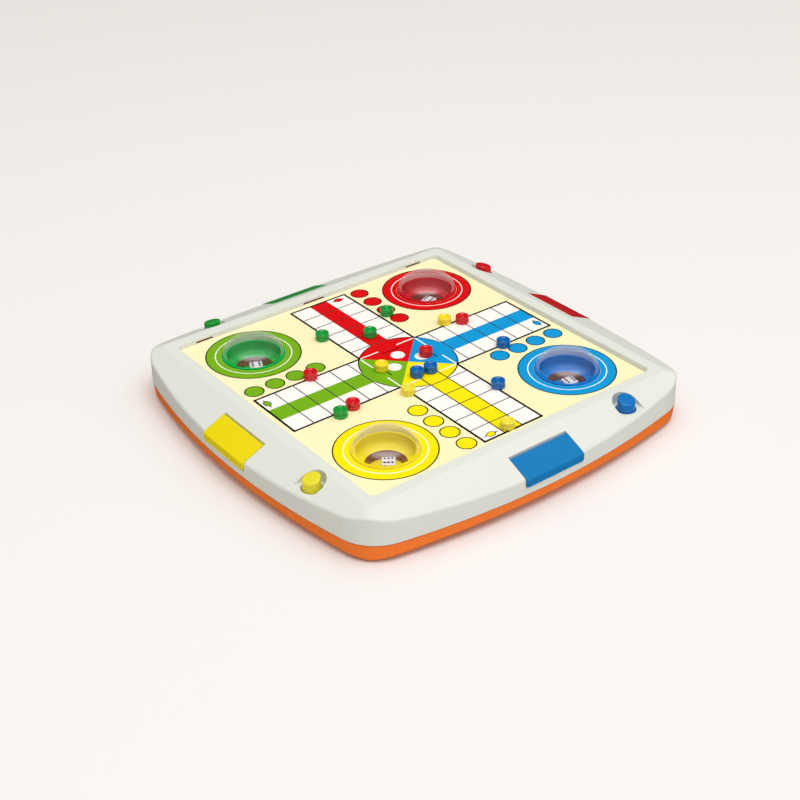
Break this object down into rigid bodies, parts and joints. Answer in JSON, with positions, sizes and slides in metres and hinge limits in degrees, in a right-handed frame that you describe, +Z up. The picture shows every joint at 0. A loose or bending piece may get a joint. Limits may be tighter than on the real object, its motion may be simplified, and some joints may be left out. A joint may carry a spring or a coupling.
{
  "type": "pop up dice board game",
  "caption": "Square two-sided board game console with bowed sides, a clear dome over a popping die in each corner, push buttons, flip-up token lids and tokens.",
  "frame": {"origin": "centre of the base, on the surface the console rests on", "axes": "+Z up; the yellow side is -Y, blue +X, red +Y, green -X"},
  "size_m": [0.2688, 0.2688, 0.043],
  "materials": {
    "upper_shell": "satin moulded",
    "lower_shell": "satin moulded",
    "board_print": "laminated print",
    "track_print": "laminated print",
    "steel": "zinc plated",
    "die_white": "polished",
    "striker_brown": "moulded",
    "dome_clear": "clear polished",
    "yellow_plastic": "moulded gloss",
    "yellow_cup_plastic": "moulded gloss",
    "yellow_pad_foam": "soft sheet",
    "blue_plastic": "moulded gloss",
    "blue_cup_plastic": "moulded gloss",
    "blue_pad_foam": "soft sheet",
    "red_plastic": "moulded gloss",
    "red_cup_plastic": "moulded gloss",
    "red_pad_foam": "soft sheet",
    "green_plastic": "moulded gloss",
    "green_cup_plastic": "moulded gloss",
    "green_pad_foam": "soft sheet"
  },
  "bodies": {
    "case": {"top_shell": "upper_shell", "bottom_shell": "lower_shell", "case_screws": "steel", "parchis_board": "board_print", "track_board": "track_print", "yellow_cup": "yellow_cup_plastic", "yellow_dome": "dome_clear", "yellow_spring": "steel", "blue_cup": "blue_cup_plastic", "blue_dome": "dome_clear", "blue_spring": "steel", "red_cup": "red_cup_plastic", "red_dome": "dome_clear", "red_spring": "steel", "green_cup": "green_cup_plastic", "green_dome": "dome_clear", "green_spring": "steel"},
    "yellow_button": {"yellow_button": "yellow_plastic"},
    "yellow_lever": {"yellow_lever": "striker_brown"},
    "yellow_striker": {"yellow_striker": "striker_brown", "yellow_strike_pad": "yellow_pad_foam"},
    "yellow_die": {"yellow_die": "die_white"},
    "yellow_lid": {"yellow_lid": "yellow_plastic"},
    "yellow_token_1": {"yellow_token_1": "yellow_plastic"},
    "yellow_token_2": {"yellow_token_2": "yellow_plastic"},
    "yellow_token_3": {"yellow_token_3": "yellow_plastic"},
    "yellow_token_4": {"yellow_token_4": "yellow_plastic"},
    "blue_button": {"blue_button": "blue_plastic"},
    "blue_lever": {"blue_lever": "striker_brown"},
    "blue_striker": {"blue_striker": "striker_brown", "blue_strike_pad": "blue_pad_foam"},
    "blue_die": {"blue_die": "die_white"},
    "blue_lid": {"blue_lid": "blue_plastic"},
    "blue_token_1": {"blue_token_1": "blue_plastic"},
    "blue_token_2": {"blue_token_2": "blue_plastic"},
    "blue_token_3": {"blue_token_3": "blue_plastic"},
    "blue_token_4": {"blue_token_4": "blue_plastic"},
    "red_button": {"red_button": "red_plastic"},
    "red_lever": {"red_lever": "striker_brown"},
    "red_striker": {"red_striker": "striker_brown", "red_strike_pad": "red_pad_foam"},
    "red_die": {"red_die": "die_white"},
    "red_lid": {"red_lid": "red_plastic"},
    "red_token_1": {"red_token_1": "red_plastic"},
    "red_token_2": {"red_token_2": "red_plastic"},
    "red_token_3": {"red_token_3": "red_plastic"},
    "red_token_4": {"red_token_4": "red_plastic"},
    "green_button": {"green_button": "green_plastic"},
    "green_lever": {"green_lever": "striker_brown"},
    "green_striker": {"green_striker": "striker_brown", "green_strike_pad": "green_pad_foam"},
    "green_die": {"green_die": "die_white"},
    "green_lid": {"green_lid": "green_plastic"},
    "green_token_1": {"green_token_1": "green_plastic"},
    "green_token_2": {"green_token_2": "green_plastic"},
    "green_token_3": {"green_token_3": "green_plastic"},
    "green_token_4": {"green_token_4": "green_plastic"}
  },
  "joints": [
    {"name": "yellow_button_press", "type": "slide", "parent": "case", "child": "yellow_button", "axis": [0, 0, -1], "range_m": [0, 0.004], "stiffness_N_per_m": 250, "springref_m": -0.004, "deforming": ["yellow_spring"]},
    {"name": "yellow_lever_tilt", "type": "hinge", "parent": "case", "child": "yellow_lever", "pos_m": [0.069, -0.1, 0.009], "axis": [1, 0, 0], "range_deg": [0, 12]},
    {"name": "yellow_striker_lift", "type": "slide", "parent": "case", "child": "yellow_striker", "axis": [0, 0, 1], "range_m": [0, 0.0068]},
    {"name": "yellow_die_hop", "type": "slide", "parent": "case", "child": "yellow_die", "axis": [0, 0, 1], "range_m": [0, 0.0096]},
    {"name": "yellow_lid_flip", "type": "hinge", "parent": "case", "child": "yellow_lid", "pos_m": [0, -0.1199, 0.0267], "axis": [-1, 0, 0], "range_deg": [0, 110]},
    {"name": "blue_button_press", "type": "slide", "parent": "case", "child": "blue_button", "axis": [0, 0, -1], "range_m": [0, 0.004], "stiffness_N_per_m": 250, "springref_m": -0.004, "deforming": ["blue_spring"]},
    {"name": "blue_lever_tilt", "type": "hinge", "parent": "case", "child": "blue_lever", "pos_m": [0.1, 0.069, 0.009], "axis": [0, 1, 0], "range_deg": [0, 12]},
    {"name": "blue_striker_lift", "type": "slide", "parent": "case", "child": "blue_striker", "axis": [0, 0, 1], "range_m": [0, 0.0068]},
    {"name": "blue_die_hop", "type": "slide", "parent": "case", "child": "blue_die", "axis": [0, 0, 1], "range_m": [0, 0.0096]},
    {"name": "blue_lid_flip", "type": "hinge", "parent": "case", "child": "blue_lid", "pos_m": [0.1199, 0, 0.0267], "axis": [0, -1, 0], "range_deg": [0, 110]},
    {"name": "red_button_press", "type": "slide", "parent": "case", "child": "red_button", "axis": [0, 0, -1], "range_m": [0, 0.004], "stiffness_N_per_m": 250, "springref_m": -0.004, "deforming": ["red_spring"]},
    {"name": "red_lever_tilt", "type": "hinge", "parent": "case", "child": "red_lever", "pos_m": [-0.069, 0.1, 0.009], "axis": [-1, 0, 0], "range_deg": [0, 12]},
    {"name": "red_striker_lift", "type": "slide", "parent": "case", "child": "red_striker", "axis": [0, 0, 1], "range_m": [0, 0.0068]},
    {"name": "red_die_hop", "type": "slide", "parent": "case", "child": "red_die", "axis": [0, 0, 1], "range_m": [0, 0.0096]},
    {"name": "red_lid_flip", "type": "hinge", "parent": "case", "child": "red_lid", "pos_m": [0, 0.1199, 0.0267], "axis": [1, 0, 0], "range_deg": [0, 110]},
    {"name": "green_button_press", "type": "slide", "parent": "case", "child": "green_button", "axis": [0, 0, -1], "range_m": [0, 0.004], "stiffness_N_per_m": 250, "springref_m": -0.004, "deforming": ["green_spring"]},
    {"name": "green_lever_tilt", "type": "hinge", "parent": "case", "child": "green_lever", "pos_m": [-0.1, -0.069, 0.009], "axis": [0, -1, 0], "range_deg": [0, 12]},
    {"name": "green_striker_lift", "type": "slide", "parent": "case", "child": "green_striker", "axis": [0, 0, 1], "range_m": [0, 0.0068]},
    {"name": "green_die_hop", "type": "slide", "parent": "case", "child": "green_die", "axis": [0, 0, 1], "range_m": [0, 0.0096]},
    {"name": "green_lid_flip", "type": "hinge", "parent": "case", "child": "green_lid", "pos_m": [-0.1199, 0, 0.0267], "axis": [0, 1, 0], "range_deg": [0, 110]},
    {"name": "yellow_token_1_lift", "type": "slide", "parent": "case", "child": "yellow_token_1", "axis": [0, 0, 1], "range_m": [0, 0.03]},
    {"name": "yellow_token_2_lift", "type": "slide", "parent": "case", "child": "yellow_token_2", "axis": [0, 0, 1], "range_m": [0, 0.03]},
    {"name": "yellow_token_3_lift", "type": "slide", "parent": "case", "child": "yellow_token_3", "axis": [0, 0, 1], "range_m": [0, 0.03]},
    {"name": "yellow_token_4_lift", "type": "slide", "parent": "case", "child": "yellow_token_4", "axis": [0, 0, 1], "range_m": [0, 0.03]},
    {"name": "blue_token_1_lift", "type": "slide", "parent": "case", "child": "blue_token_1", "axis": [0, 0, 1], "range_m": [0, 0.03]},
    {"name": "blue_token_2_lift", "type": "slide", "parent": "case", "child": "blue_token_2", "axis": [0, 0, 1], "range_m": [0, 0.03]},
    {"name": "blue_token_3_lift", "type": "slide", "parent": "case", "child": "blue_token_3", "axis": [0, 0, 1], "range_m": [0, 0.03]},
    {"name": "blue_token_4_lift", "type": "slide", "parent": "case", "child": "blue_token_4", "axis": [0, 0, 1], "range_m": [0, 0.03]},
    {"name": "red_token_1_lift", "type": "slide", "parent": "case", "child": "red_token_1", "axis": [0, 0, 1], "range_m": [0, 0.03]},
    {"name": "red_token_2_lift", "type": "slide", "parent": "case", "child": "red_token_2", "axis": [0, 0, 1], "range_m": [0, 0.03]},
    {"name": "red_token_3_lift", "type": "slide", "parent": "case", "child": "red_token_3", "axis": [0, 0, 1], "range_m": [0, 0.03]},
    {"name": "red_token_4_lift", "type": "slide", "parent": "case", "child": "red_token_4", "axis": [0, 0, 1], "range_m": [0, 0.03]},
    {"name": "green_token_1_lift", "type": "slide", "parent": "case", "child": "green_token_1", "axis": [0, 0, 1], "range_m": [0, 0.03]},
    {"name": "green_token_2_lift", "type": "slide", "parent": "case", "child": "green_token_2", "axis": [0, 0, 1], "range_m": [0, 0.03]},
    {"name": "green_token_3_lift", "type": "slide", "parent": "case", "child": "green_token_3", "axis": [0, 0, 1], "range_m": [0, 0.03]},
    {"name": "green_token_4_lift", "type": "slide", "parent": "case", "child": "green_token_4", "axis": [0, 0, 1], "range_m": [0, 0.03]}
  ],
  "couplings": [
    {"joint": "yellow_lever_tilt", "follows": "yellow_button_press", "rad_per_m": 52.3},
    {"joint": "yellow_striker_lift", "follows": "yellow_button_press", "ratio": 1.7},
    {"joint": "yellow_die_hop", "follows": "yellow_button_press", "ratio": 2.4},
    {"joint": "blue_lever_tilt", "follows": "blue_button_press", "rad_per_m": 52.3},
    {"joint": "blue_striker_lift", "follows": "blue_button_press", "ratio": 1.7},
    {"joint": "blue_die_hop", "follows": "blue_button_press", "ratio": 2.4},
    {"joint": "red_lever_tilt", "follows": "red_button_press", "rad_per_m": 52.3},
    {"joint": "red_striker_lift", "follows": "red_button_press", "ratio": 1.7},
    {"joint": "red_die_hop", "follows": "red_button_press", "ratio": 2.4},
    {"joint": "green_lever_tilt", "follows": "green_button_press", "rad_per_m": 52.3},
    {"joint": "green_striker_lift", "follows": "green_button_press", "ratio": 1.7},
    {"joint": "green_die_hop", "follows": "green_button_press", "ratio": 2.4}
  ]
}
